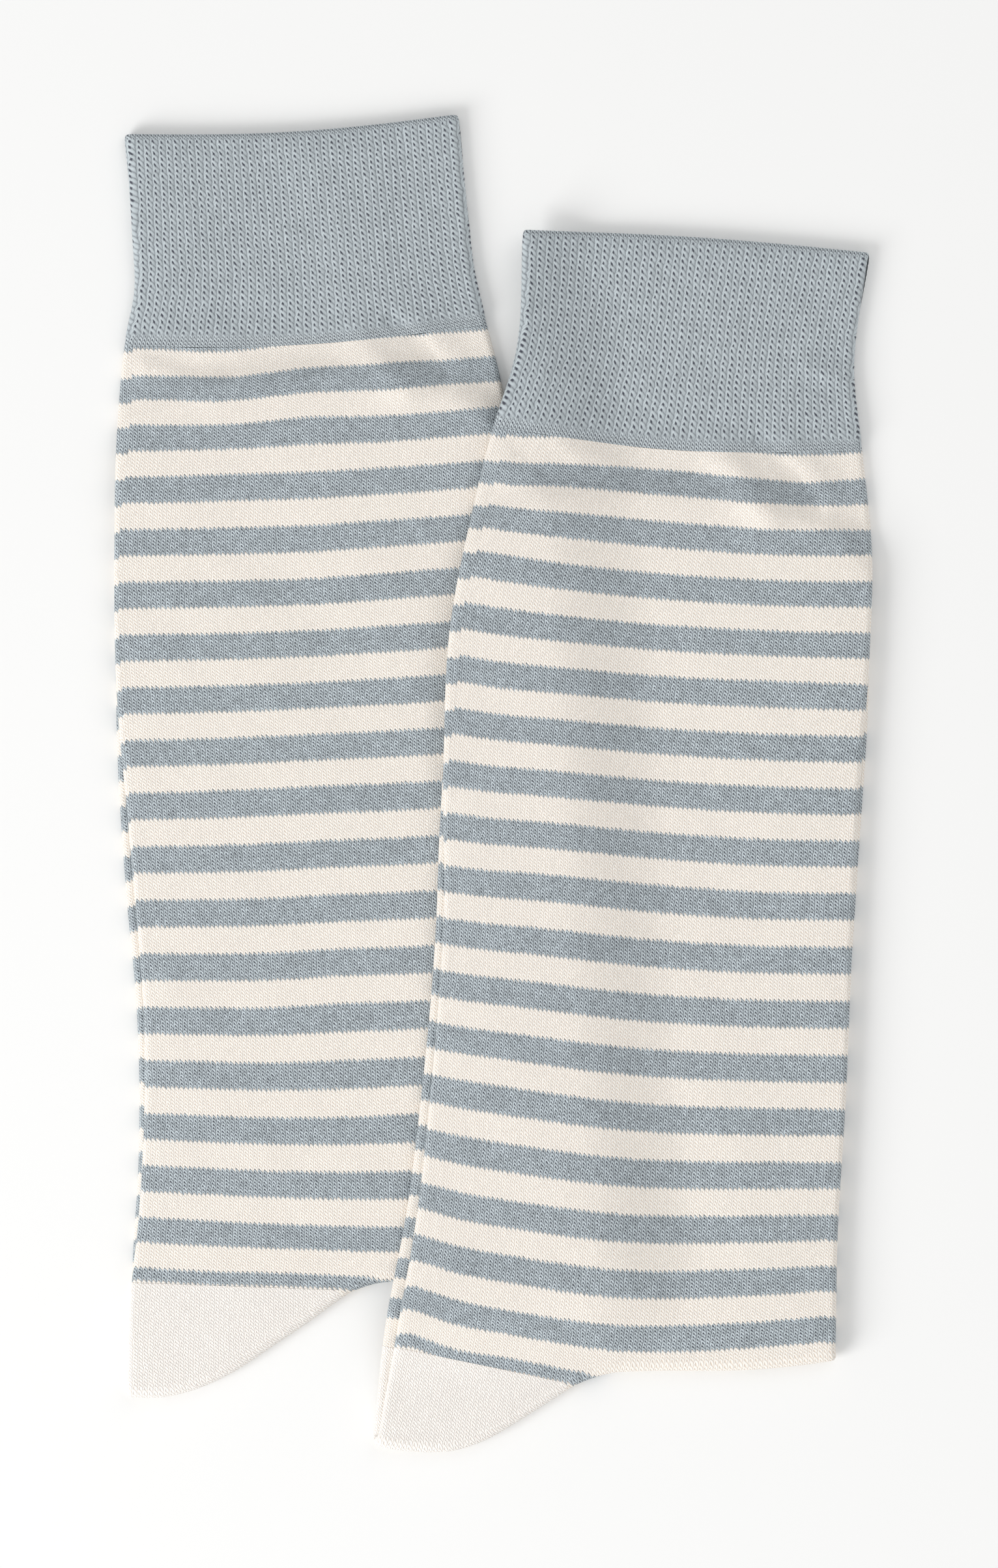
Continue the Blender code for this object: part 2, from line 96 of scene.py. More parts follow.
LEFT = Sock(
    name="left",
    cuff_top=(-45.70, 149.15),  # where the middle of its top edge lies in plan
    lean_deg=3.40,  # of the sock's length, in plan
    rim_dip=1.6,  # of the top edge in its middle
    cuff_end=47.9,
    cuff_bow=2.0,
    heel_top=259.6,
    heel_slope=0.09,
    gore_end=-5.2,  # how far across the heel reaches along the fold
    leg=[
        Section(0, -37.8, 37.8),
        Section(23, -37.3, 38.6),
        Section(35, -37.5, 39.3),
        Section(48, -40.7, 41.5),
        Section(60, -42.6, 43.8),
        Section(92, -45.5, 46.3),
        Section(125, -47.0, 47.0),
        Section(161, -46.0, 46.6),
        Section(205, -45.4, 46.6),
        Section(245, -49.1, 47.6),
        Section(262, -51.9, 48.2),
        Section(287, -54.2, 48.6),
    ],
    foot=[
        Section(64, -43.0, 42.5),
        Section(100, -45.3, 46.0),
        Section(135, -47.6, 46.8),
        Section(172, -47.6, 46.8),
        Section(197, -46.8, 46.4),
        Section(231, -48.3, 46.9),
        Section(253, -50.9, 47.8),
        Section(287, -54.3, 48.6),
    ],
    fold=[
        FoldPoint(-55.0, 285.2),
        FoldPoint(-46.0, 285.8),
        FoldPoint(-38.0, 284.3),
        FoldPoint(-30.5, 281.4),
        FoldPoint(-19.6, 275.2),
        FoldPoint(-12.3, 270.9),
        FoldPoint(-7.3, 267.7),
        FoldPoint(-2.2, 264.7),
        FoldPoint(3.0, 263.1),
        FoldPoint(9.0, 262.7),
        FoldPoint(22.0, 262.0),
        FoldPoint(36.0, 260.6),
        FoldPoint(49.0, 258.8),
    ],
    wales=[
        Wales(0, 1.0, 44.5, 87.0),
        Wales(46, 2.4, 44.5, 87.4),
        Wales(58, 1.4, 44.2, 87.6),
        Wales(70, 1.3, 44.6, 87.8),
        Wales(84, 2.6, 45.6, 89.6),
        Wales(135, 3.0, 46.4, 91.0),
        Wales(165, 3.8, 47.4, 91.2),
        Wales(205, 4.4, 48.2, 91.2),
        Wales(255, 4.0, 48.0, 94.0),
    ],
    stripe_across=[-50, -38, -16, 0, 14, 48],
    stripes=[
        Stripe(1, 53.7, 54.3, 56.1, 55.1, 55.1, 54.6),
        Stripe(2, 64.9, 65.6, 66.6, 66.0, 66.6, 66.2),
        Stripe(3, 76.6, 77.3, 77.9, 78.4, 78.5, 78.1),
        Stripe(5, 100.6, 101.1, 102.1, 102.5, 102.3, 101.8),
        Stripe(9, 148.2, 148.8, 149.3, 149.5, 149.8, 149.6),
        Stripe(13, 196.6, 197.5, 198.8, 198.8, 199.2, 198.8),
        Stripe(15, 220.6, 221.8, 223.8, 224.6, 224.7, 223.6),
        Stripe(17, 244.2, 245.6, 248.0, 249.4, 250.3, 248.4),
        Stripe(18, 255.6, 257.1, 259.0, 260.6, 261.7, 260.0),
    ],
    jog=3.0,  # the wale at which a round starts, and the stripes step by a course
    creases=[
        Crease(20.0, 45.5, 26.5, 52.0, 1.2, -2.40),
        Crease(26.5, 52.0, 30.5, 60.0, 1.3, -2.20),
        Crease(13.0, 50.0, 22.0, 61.0, 4.2, 1.70),
        Crease(26.0, 46.0, 34.0, 56.0, 3.4, 0.90),
        Crease(-37.0, 47.0, -26.0, 52.5, 2.2, -1.30),
        Crease(-36.0, 53.5, -22.0, 58.0, 4.0, 0.90),
        Crease(-30.0, 45.5, -16.0, 49.0, 3.2, 0.70),
        Crease(-38.0, 118.0, -24.0, 150.0, 7.0, 0.28),
        Crease(-40.0, 196.0, -20.0, 236.0, 8.0, 0.30),
        Crease(-12.0, 88.0, 6.0, 128.0, 9.0, -0.25),
        Crease(-30.0, 8.0, -24.0, 30.0, 8.0, 0.25),
        Crease(8.0, 12.0, 14.0, 38.0, 9.0, 0.25),
    ],
    foot_courses=[(64, 556.0), (115, 492.0), (172, 413.0), (218, 348.0), (262, HEEL_COURSE + 2)],
)

RIGHT = Sock(
    name="right",
    cuff_top=(45.95, 122.75),
    lean_deg=-3.70,
    rim_dip=-0.9,
    cuff_end=45.0,
    cuff_bow=2.5,
    heel_top=254.2,
    heel_slope=0.138,
    gore_end=-13.2,
    leg=[
        Section(0, -39.2, 39.2),
        Section(28, -39.1, 37.5),
        Section(45, -43.2, 40.5),
        Section(66, -46.9, 44.0),
        Section(90, -49.9, 45.1),
        Section(120, -49.5, 44.9),
        Section(156, -47.2, 45.4),
        Section(190, -47.4, 46.2),
        Section(223, -48.8, 46.4),
        Section(250, -51.6, 47.6),
        Section(278, -54.8, 48.0),
    ],
    foot=[
        Section(64, -45.5, 43.5),
        Section(95, -48.5, 45.4),
        Section(139, -49.3, 45.6),
        Section(156, -48.8, 45.6),
        Section(199, -49.7, 45.9),
        Section(223, -51.2, 46.3),
        Section(250, -54.4, 47.5),
        Section(278, -55.5, 48.0),
    ],
    fold=[
        FoldPoint(-56.0, 276.0),
        FoldPoint(-53.0, 276.9),
        FoldPoint(-45.5, 277.5),
        FoldPoint(-36.0, 276.5),
        FoldPoint(-28.8, 273.4),
        FoldPoint(-22.5, 269.2),
        FoldPoint(-15.5, 264.2),
        FoldPoint(-9.2, 259.8),
        FoldPoint(-3.0, 257.2),
        FoldPoint(6.0, 255.9),
        FoldPoint(19.0, 255.0),
        FoldPoint(30.0, 254.0),
        FoldPoint(41.0, 252.2),
        FoldPoint(49.0, 250.5),
    ],
    wales=[
        Wales(0, 0.0, 41.4, 84.4),
        Wales(45, 1.6, 43.8, 86.0),
        Wales(68, 1.9, 45.4, 87.6),
        Wales(84, 2.7, 46.8, 89.2),
        Wales(103, 2.6, 48.0, 90.4),
        Wales(121, 3.9, 49.6, 92.2),
        Wales(140, 4.6, 50.2, 93.0),
        Wales(165, 5.4, 50.4, 93.2),
        Wales(205, 5.6, 50.2, 93.6),
        Wales(250, 4.6, 49.6, 93.6),
    ],
    stripe_across=[-48, -38, -28, 0, 28, 44],
    stripes=[
        Stripe(1, 51.0, 52.5, 52.0, 51.9, 52.5, 50.5),
        Stripe(2, 61.8, 62.8, 62.9, 63.5, 63.4, 62.4),
        Stripe(3, 72.6, 73.4, 74.3, 75.3, 75.0, 74.0),
        Stripe(5, 96.6, 97.6, 97.9, 98.4, 97.8, 97.3),
        Stripe(9, 144.2, 144.7, 144.7, 145.6, 145.5, 144.6),
        Stripe(13, 191.6, 192.6, 193.4, 195.1, 194.4, 193.6),
        Stripe(15, 216.0, 217.9, 218.8, 220.3, 218.8, 217.6),
        Stripe(17, 239.6, 242.1, 243.4, 245.3, 242.9, 240.6),
        Stripe(18, 250.2, 253.1, 254.1, 257.1, 254.6, 252.2),
    ],
    jog=4.0,
    creases=[
        Crease(17.5, 44.0, 25.0, 52.0, 1.2, -3.00),
        Crease(25.0, 52.0, 30.5, 60.0, 1.3, -2.80),
        Crease(9.5, 48.0, 20.0, 61.0, 4.2, 2.20),
        Crease(24.5, 45.0, 34.0, 56.0, 3.4, 1.10),
        Crease(-37.0, 47.0, -28.0, 53.5, 2.4, -1.30),
        Crease(-28.0, 46.0, -18.0, 52.0, 4.2, 0.90),
        Crease(-40.0, 53.0, -32.0, 60.0, 4.0, 0.60),
        Crease(-12.0, 45.0, 6.0, 47.5, 2.6, 0.30),
        Crease(-30.0, 92.0, -22.0, 132.0, 9.0, 0.28),
        Crease(6.0, 104.0, 22.0, 150.0, 9.0, -0.25),
        Crease(-34.0, 180.0, -16.0, 226.0, 9.0, 0.30),
        Crease(16.0, 190.0, 30.0, 236.0, 8.0, 0.25),
        Crease(26.5, 30.0, 38.0, 33.0, 1.4, -1.10),
        Crease(27.0, 27.0, 37.0, 29.5, 2.6, 0.80),
        Crease(-10.0, 8.0, -4.0, 34.0, 9.0, 0.25),
    ],
    foot_courses=[(64, 546.0), (115, 480.0), (172, 404.0), (218, 340.0), (254, HEEL_COURSE + 2)],
)

PAIR = (LEFT, RIGHT)
COLUMN_WIDTH = 0.9  # of the mesh
ROW_HEIGHT = 1.35
SOCK_WIDTH = 94.0  # about, to space the mesh's columns by
OUTLINE_STEPS = 40  # along each side of an outline
TOE_CROWDING = 1.5  # power that crowds an outline's points towards the toe's tip
ARC_STEPS = 3  # for a quarter of a tube's round edge
TURN_STEPS = 12  # round the fold
PUFF = 0.35  # how far the front of a flattened tube stands off its back
PUFF_EDGE = 9.0  # how far in from a side edge it takes to get there
PINCH = 0.45  # how much of its relief the cuff's last course holds down
PINCH_REACH = 2.2  # how far from that course it does so
FADE = 5.0  # over which the relief fades towards a fold or another zone
Ripple = namedtuple("Ripple", "across down phase height")  # a wave with these two lengths
RIPPLES = [
    Ripple(61.0, 47.0, 0.4, 0.10),
    Ripple(-37.0, 83.0, 2.1, 0.08),
    Ripple(23.0, 31.0, 4.0, 0.05),
    Ripple(-17.0, 19.0, 5.3, 0.03),
]


def through(xs, ys, x):
    """The smooth curve through the points (xs, ys), read at x and held level beyond its ends."""
    xs, ys = np.asarray(xs, float), np.asarray(ys, float)
    x = np.clip(x, xs[0], xs[-1])
    slopes = np.gradient(ys, xs)
    i = np.clip(np.searchsorted(xs, x, side="right") - 1, 0, len(xs) - 2)
    width = xs[i + 1] - xs[i]
    s = (x - xs[i]) / width
    rise = ys[i] * (1 - s) ** 2 * (1 + 2 * s) + ys[i + 1] * s**2 * (3 - 2 * s)
    return rise + width * s * (1 - s) * (slopes[i] * (1 - s) - slopes[i + 1] * s)


def eased(s):
    """0 below 0, 1 above 1 and a smooth step between."""
    s = np.clip(s, 0, 1)
    return s * s * (3 - 2 * s)


def edges_at(sections, down):
    """Left and right edge of a tube at this distance down."""
    downs = [section.down for section in sections]
    left = through(downs, [section.left for section in sections], down)
    right = through(downs, [section.right for section in sections], down)
    return left, right


def foot_edges_at(sock, down):
    """Left and right edge of the foot, which closes in over the toe's end."""
    left, right = edges_at(sock.foot, down)
    into_toe = np.clip((TOE_SEAM - down) / (TOE_SEAM - TOE_TIP), 0, 1)
    narrow = (1 - into_toe**TOE_ROUND) ** (1 / TOE_ROUND)
    middle, half = (left + right) / 2, (right - left) / 2
    return middle - half * narrow, middle + half * narrow


def fold_at(sock, across):
    """How far down the folded edge lies, and its slope."""
    xs = [point.across for point in sock.fold]
    ys = [point.down for point in sock.fold]
    step = 0.5
    before, after = through(xs, ys, across - step), through(xs, ys, across + step)
    return through(xs, ys, across), (after - before) / (2 * step)


def cuff_end_at(sock, share):
    """How far down the cuff ends: its last course bows downwards in the middle."""
    return sock.cuff_end + sock.cuff_bow * np.sin(math.pi * share)


def heel_top_at(sock, across):
    """How far down the heel's first course lies."""
    return sock.heel_top + sock.heel_slope * (across - sock.leg[-2].left)


def to_plan(sock, across, down):
    """Plan x and y of a point that is given across the sock and down it from its cuff's top edge."""
    lean = math.radians(sock.lean_deg)
    x = sock.cuff_top[0] + across * math.cos(lean) + down * math.sin(lean)
    y = sock.cuff_top[1] + across * math.sin(lean) - down * math.cos(lean)
    return np.stack([x, y], axis=-1)


def depth_inside(outline, points):
    """How far each plan point lies inside a closed outline. It is negative outside."""
    flat = points.reshape(-1, 1, 2)
    step = np.roll(outline, -1, axis=0) - outline
    offset = flat - outline
    along = np.clip((offset * step).sum(-1) / (step**2).sum(-1), 0, 1)
    distance = np.linalg.norm(offset - along[..., None] * step, axis=-1).min(1)
    level = (offset[..., 1] >= 0) != (offset[..., 1] >= step[:, 1])
    rise = np.where(step[:, 1] == 0, 1, step[:, 1])
    ahead = offset[..., 0] < offset[..., 1] * step[:, 0] / rise
    inside = (level & ahead).sum(1) % 2 == 1
    return np.where(inside, distance, -distance).reshape(points.shape[:-1])


def fall(depth, reach):
    """1 over what lies below and just past its edge, then easing to 0 over this reach."""
    return eased(1 + (depth + HOLD) / reach)


def packet_outline(sock):
    """The plan outline of the whole folded sock."""
    down = np.linspace(0, sock.fold[-1].down, OUTLINE_STEPS)
    left_down = np.linspace(0, sock.fold[0].down, OUTLINE_STEPS)
    across = np.linspace(sock.fold[0].across + 1, sock.fold[-1].across - 1, OUTLINE_STEPS)
    left = to_plan(sock, edges_at(sock.leg, left_down)[0], left_down)
    right = to_plan(sock, edges_at(sock.leg, down)[1], down)
    bottom = to_plan(sock, across, fold_at(sock, across)[0])
    return np.concatenate([left, bottom, right[::-1]])


def foot_outline(sock):
    """The plan outline of the folded foot, toe and all."""
    share = np.linspace(0, 1, 2 * OUTLINE_STEPS) ** TOE_CROWDING
    down = TOE_TIP + (sock.fold[0].down - TOE_TIP) * share
    left, right = foot_edges_at(sock, down)
    return np.concatenate([to_plan(sock, left, down), to_plan(sock, right, down)[:0:-1]])


PACKETS = {sock.name: packet_outline(sock) for sock in PAIR}
FEET = {sock.name: foot_outline(sock) for sock in PAIR}


def ground(sock, plan):
    """Height of what the sock lies on: the floor, or the other sock."""
    if sock is LEFT:
        return np.zeros(plan.shape[:-1])
    return (STACK + GAP) * fall(depth_inside(PACKETS["left"], plan), DRAPE)


def lift(sock, plan):
    """How far the sock's own foot holds its leg up."""
    return (JERSEY_TUBE + GAP) * fall(depth_inside(FEET[sock.name], plan), SLOPE)


def stretch_of(first, last):
    """Evenly spaced shares of the width, from first to last."""
    steps = max(1, round(abs(last - first) * SOCK_WIDTH / COLUMN_WIDTH))
    return np.linspace(first, last, 1 + steps)


def gore_share(sock):
    """Share of the width at which the heel's gore ends, on the fold."""
    left, right = edges_at(sock.leg, sock.heel_top)
    return float((sock.gore_end - left) / (right - left))


def round_tube(sock, start, end):
    """Columns round a flattened tube, from one share of its front to the same share of its back.

    Each is (share, sideways, out, turn). Sideways and out are the way that the cloth faces there,
    and turn is 0 on the front, 1 on the back and between them round the left edge."""
    front = stretch_of(start, end)
    columns = [(share, 0, 1, 0) for share in front]
    if end == 0:
        for angle in np.linspace(0, math.pi, 2 * ARC_STEPS + 1)[1:-1]:
            columns.append((0, -math.sin(angle), math.cos(angle), angle / math.pi))
        columns += [(share, 0, -1, 1) for share in front[::-1]]
    return columns


def right_edge(front):
    """Columns round a quarter of the right edge, from its outermost line to the front or the back."""
    side = 1 if front else -1
    angles = np.linspace(0, math.pi / 2, ARC_STEPS + 1)[:-1]
    return [(1, math.cos(a), side * math.sin(a), 0 if front else 1) for a in angles]


def instep_front(sock):
    """Columns from the right edge over the instep's front to the gore."""
    return np.array(right_edge(True) + round_tube(sock, 1, gore_share(sock)))


def heel_half(sock):
    """Columns from the gore round the left edge and back to the gore."""
    return np.array(round_tube(sock, gore_share(sock), 0))


def instep_back(sock):
    """Columns from the gore over the instep's back to the right edge."""
    return instep_front(sock)[::-1] * [1, 1, -1, 1] + [0, 0, 0, 1]


def whole_tube(sock):
    """Columns all round the tube, from the right edge over the front and back behind."""
    return np.concatenate([instep_front(sock)[:-1], heel_half(sock), instep_back(sock)[1:]])


def heel_columns(sock):
    """Where the heel's columns stand in the whole tube, the gore's two columns among them."""
    first = len(instep_front(sock)) - 1
    return slice(first, first + len(heel_half(sock)))


def column_at(edges, ring, tube, radius):
    """Distance across of ring columns whose cloth is at this radius, in a tube this thick."""
    left, right = edges
    return left + tube / 2 + ring[..., 0] * (right - left - tube) + radius * ring[..., 1]


def wale_at(sock, ring, down):
    """The wale of each column, counted from the left edge: up over the front, down over the back."""
    downs = [row.down for row in sock.wales]
    left, middle, right = (
        through(downs, [getattr(row, side) for row in sock.wales], down)
        for side in ("left", "middle", "right")
    )
    share = ring[..., 0]
    bend = 2 * (left + right - 2 * middle)
    count = (right - left - bend) * share + bend * share**2
    past_edge = np.where(share > 0.5, ring[..., 1], 0) * ARC_WALES / 2
    front = ring[..., 3] < 0.5
    turned = ring[..., 3] * ARC_WALES
    return left + np.where(front, count + past_edge, -count - past_edge) - turned


def course_at(sock, across, down):
    """The course that each point lies on, counted from the first blue stripe's first course."""
    lines = [through(sock.stripe_across, row[1:], across) for row in sock.stripes]
    courses = [STRIPE * (row.number - 1) for row in sock.stripes]
    count = courses[0] + (down - lines[0]) / COURSE
    for i in range(len(lines) - 1):
        share = (down - lines[i]) / (lines[i + 1] - lines[i])
        inside = courses[i] + (courses[i + 1] - courses[i]) * share
        count = np.where(share > 0, inside, count)
    return np.where(down > lines[-1], courses[-1] + (down - lines[-1]) / COURSE, count)


def spiral(ring):
    """The one course that a round of knitting climbs, shared out along the tube's back."""
    return np.where(ring[..., 3] > 0.5, ring[..., 0], 0)


def relief(sock, ring, across, down):
    """How far the front of a sock stands up: its puff, ripples and creases. It is 0 at the sides."""
    left, right = edges_at(sock.leg, down)
    to_edge = np.minimum(across - left, right - across)
    height = PUFF * (1 - np.exp(-np.clip(to_edge, 0, None) / PUFF_EDGE))
    for wave in RIPPLES:
        angle = 2 * math.pi * (across / wave.across + down / wave.down) + wave.phase
        height = height + wave.height * np.sin(angle)
    for crease in sock.creases:
        run = np.array([crease.to_across - crease.across, crease.to_down - crease.down])
        along = ((across - crease.across) * run[0] + (down - crease.down) * run[1]) / (run @ run)
        held = np.clip(along, 0, 1)
        aside = across - crease.across - held * run[0]
        off = np.hypot(aside, down - crease.down - held * run[1])
        height = height + crease.height * np.exp(-((off / crease.width) ** 2))
    inside = eased(to_edge / FADE) * np.clip(ring[..., 2], 0, 1)
    from_cuff = down - cuff_end_at(sock, ring[..., 0])
    inside = inside * (1 - PINCH * np.exp(-((from_cuff / PINCH_REACH) ** 2)))
    if sock is LEFT:
        under = depth_inside(PACKETS["right"], to_plan(sock, across, down))
        inside = inside * (1 - eased(under / FADE + 1))
    return np.clip(height, 0, None) * inside


FOLD_ROUNDS = 6  # of closing in on where a column meets the fold


def fold_axis(sock, ring):
    """Where each column meets the line that the fold turns about, and the way out from that line."""
    down = np.full(ring.shape[:-1], sock.fold[-1].down)
    for _ in range(FOLD_ROUNDS):
        across = column_at(edges_at(sock.leg, down), ring, JERSEY_TUBE, WALL_MIDDLE)
        edge, slope = fold_at(sock, across)
        steepness = np.sqrt(1 + slope**2)
        down = edge - STACK / 2 * steepness
    return across, down, -slope / steepness, 1 / steepness


def on_leg(sock, ring, down):
    """Points of the leg, as plan x, plan y and height."""
    across = column_at(edges_at(sock.leg, down), ring, JERSEY_TUBE, WALL_MIDDLE)
    plan = to_plan(sock, across, down)
    _, fold, _, _ = fold_axis(sock, ring)
    raised = relief(sock, ring, across, down) * eased((fold - down) / FADE)
    height = ground(sock, plan) + lift(sock, plan) + JERSEY_TUBE / 2
    return np.column_stack([plan, height + WALL_MIDDLE * ring[..., 2] + raised])


def on_fold(sock, ring, angle):
    """Points of the cloth that turns under: angle is 0 on the leg's side and pi on the foot's."""
    across, down, out_across, out_down = fold_axis(sock, ring)
    foot_across = column_at(foot_edges_at(sock, down), ring, JERSEY_TUBE, WALL_MIDDLE)
    across = across + (foot_across - across) * angle / math.pi
    reach = TURN + WALL_MIDDLE * ring[..., 2]
    out = reach * math.sin(angle)
    plan = to_plan(sock, across + out_across * out, down + out_down * out)
    height = ground(sock, plan) + STACK / 2 + reach * math.cos(angle)
    return np.column_stack([plan, height])


def on_foot(sock, ring, down, radius=WALL_MIDDLE):
    """Points of the foot, whose front faces the floor."""
    across = column_at(foot_edges_at(sock, down), ring, JERSEY_TUBE, radius)
    plan = to_plan(sock, across, down)
    height = ground(sock, plan) + JERSEY_TUBE / 2 - radius * ring[..., 2]
    return np.column_stack([plan, height])


def lay_sheet(bm, points, wales, courses):
    """Adds a grid of faces through rows of points, with the knit's wales and courses as its UV."""
    points, wales, courses = np.array(points) * MM, np.array(wales), np.array(courses)
    knit = bm.loops.layers.uv.verify()
    row_steps, column_steps = points.shape[0] - 1, points.shape[1] - 1
    made = bmesh.ops.create_grid(bm, x_segments=column_steps, y_segments=row_steps, size=0.5)
    for vert in made["verts"]:
        column = round((vert.co.x + 0.5) * column_steps)
        row = round((vert.co.y + 0.5) * row_steps)
        vert.co = points[row, column]
        for loop in vert.link_loops:
            loop[knit].uv = (wales[row, column], courses[row, column])


WELD = 0.001  # points nearer than this are one
SHARP = 1.3  # radians: edges that turn more than this, and open ones, stay crisp


def make_piece(bm, name, material, wall=None):
    """Welds the mesh, turns its faces outwards and makes it an object that rides with the pair."""
    bmesh.ops.remove_doubles(bm, verts=bm.verts, dist=WELD * MM)
    bmesh.ops.recalc_face_normals(bm, faces=bm.faces)
    for edge in bm.edges:
        edge.smooth = edge.calc_face_angle(math.pi) < SHARP
    mesh = bpy.data.meshes.new(name)
    bm.to_mesh(mesh)
    bm.free()
    mesh.materials.append(material)
    for face in mesh.polygons:
        face.use_smooth = True
    piece = bpy.data.objects.new(name, mesh)
    bpy.context.scene.collection.objects.link(piece)
    if wall:
        solidify = piece.modifiers.new("wall", "SOLIDIFY")
        solidify.thickness = wall * MM
        solidify.offset = 0
        solidify.use_even_offset = True
    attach(piece, "root")
    return piece


def wire(tree, value, socket):
    """Links an output to a socket, or sets the socket where the value is a number or a colour."""
    if isinstance(value, bpy.types.NodeSocket):
        tree.links.new(value, socket)
    else:
        socket.default_value = value


def maths(tree, operation, *values):
    """One step of arithmetic on these values."""
    node = tree.nodes.new("ShaderNodeMath")
    node.operation = operation
    for value, socket in zip(values, node.inputs):
        wire(tree, value, socket)
    return node.outputs["Value"]


def step_up(tree, value, start, end, low=0.0, high=1.0):
    """A smooth step of a value, from low at start to high at end."""
    node = tree.nodes.new("ShaderNodeMapRange")
    node.interpolation_type = "SMOOTHSTEP"
    for name, given in (
        ("Value", value),
        ("From Min", start),
        ("From Max", end),
        ("To Min", low),
        ("To Max", high),
    ):
        wire(tree, given, node.inputs[name])
    return node.outputs["Result"]


def mixed(tree, share, first, second, kind="RGBA"):
    """The first colour or value where the share is 0, and the second where it is 1."""
    node = tree.nodes.new("ShaderNodeMix")
    node.data_type = kind
    factor, a, b, out = (0, 6, 7, 2) if kind == "RGBA" else (0, 2, 3, 0)
    wire(tree, share, node.inputs[factor])
    wire(tree, first, node.inputs[a])
    wire(tree, second, node.inputs[b])
    return node.outputs[out]


def noise(tree, vector, scale, detail):
    """Smooth noise from 0 to 1, at this many waves a unit and this many octaves."""
    node = tree.nodes.new("ShaderNodeTexNoise")
    wire(tree, vector, node.inputs["Vector"])
    node.inputs["Scale"].default_value = scale
    node.inputs["Detail"].default_value = detail
    return node.outputs["Fac"]


def vector_of(tree, x, y):
    """A flat vector of these two values."""
    node = tree.nodes.new("ShaderNodeCombineXYZ")
    for value, socket in zip((x, y), node.inputs):
        wire(tree, value, socket)
    return node.outputs["Vector"]


COLOUR_SOCKETS = ("Lit", "PaintedShade", "Colour")  # the groups' other sockets hold one number


def new_group(name, inputs, outputs):
    """An empty node group with these sockets, and its input and output nodes."""
    tree = bpy.data.node_groups.new(name, "ShaderNodeTree")
    for side, sockets in (("INPUT", inputs), ("OUTPUT", outputs)):
        for socket in sockets:
            kind = "NodeSocketColor" if socket in COLOUR_SOCKETS else "NodeSocketFloat"
            tree.interface.new_socket(socket, in_out=side, socket_type=kind)
    return tree, tree.nodes.new("NodeGroupInput"), tree.nodes.new("NodeGroupOutput")


def make_stitches():
    """Group: one loop of knit in each cell of wale and course, as two legs that meet at an apex.

    The left leg falls steeply and reads as an upright line, and the right leg slants. It puts out
    the relief, a mask for the shade that is painted deep between the yarns, the number of the loop's
    own course, and a chance value for each loop. Places across the wale run from 0 to 1."""
    tree, given, out = new_group(
        "knit_stitches",
        ("Wale", "Course", "Left Fall", "Right Fall", "Slant", "Gap", "Tremble"),
        ("Height", "Depth", "Loop Course", "Chance"),
    )
    apex, apex_width = 0.30, 0.08  # where the legs meet, and half the width of the bend there
    left_gap, right_gap = 0.10, 0.84  # beyond these lies the gap to the next wale, sunk in the relief and painted dark as shade
    hole_place, hole_edge, hole_core = apex + 0.10, 0.20, 0.04  # the little hole under the apex, sunk in the relief and painted dark as shade
    left_groove = 0.22  # how deep the groove between two left legs is, in the relief and in its painted shade
    groove_power, hole_top, hole_bottom = 1.4, 0.95, 0.35  # the profile of each across the yarn
    wale, course = given.outputs["Wale"], given.outputs["Course"]
    wander = noise(tree, vector_of(tree, wale, course), scale=0.55, detail=3.0)
    tremble = maths(tree, "SUBTRACT", wander, 0.5)
    wale = maths(tree, "MULTIPLY_ADD", tremble, given.outputs["Tremble"], wale)
    course = maths(tree, "MULTIPLY_ADD", tremble, given.outputs["Tremble"], course)
    x = maths(tree, "FRACT", wale)
    to_apex = maths(tree, "SUBTRACT", x, apex)
    left, right = (
        maths(tree, "MULTIPLY", maths(tree, "DIVIDE", to_apex, width), given.outputs[fall])
        for width, fall in ((-apex, "Left Fall"), (1 - apex, "Right Fall"))
    )
    phase = maths(tree, "SUBTRACT", course, maths(tree, "MAXIMUM", left, right))
    number = maths(tree, "FLOOR", phase)
    place = maths(tree, "FRACT", phase)
    crown = maths(tree, "SINE", maths(tree, "MULTIPLY", place, math.pi))
    groove = maths(tree, "POWER", maths(tree, "SUBTRACT", 1.0, crown), groove_power)
    bend = (apex - apex_width, apex + apex_width)
    slanting = step_up(tree, x, *bend, low=left_groove, high=given.outputs["Slant"])
    groove = maths(tree, "MULTIPLY", groove, slanting)
    gap = maths(
        tree,
        "MAXIMUM",
        step_up(tree, x, left_gap, 0.0, high=given.outputs["Gap"]),
        step_up(tree, x, right_gap, 1.0, high=given.outputs["Gap"]),
    )
    from_hole = maths(tree, "ABSOLUTE", maths(tree, "SUBTRACT", x, hole_place))
    near_hole = step_up(tree, from_hole, hole_edge, hole_core)
    hole = maths(tree, "MULTIPLY", near_hole, step_up(tree, crown, hole_top, hole_bottom))
    open_yarn = maths(tree, "SUBTRACT", 1.0, groove)
    for hollow in (gap, hole):
        open_yarn = maths(tree, "MULTIPLY", open_yarn, maths(tree, "SUBTRACT", 1.0, hollow))
    chance = tree.nodes.new("ShaderNodeTexWhiteNoise")
    chance.noise_dimensions = "2D"
    wire(tree, vector_of(tree, maths(tree, "FLOOR", wale), number), chance.inputs["Vector"])
    wire(tree, open_yarn, out.inputs["Height"])
    # The shade mask: painted shade, strongest in the grooves, in the gaps between wales and in the
    # holes.
    wire(tree, maths(tree, "SUBTRACT", 1.0, open_yarn), out.inputs["Depth"])
    wire(tree, number, out.inputs["Loop Course"])
    wire(tree, chance.outputs["Value"], out.inputs["Chance"])
    return tree


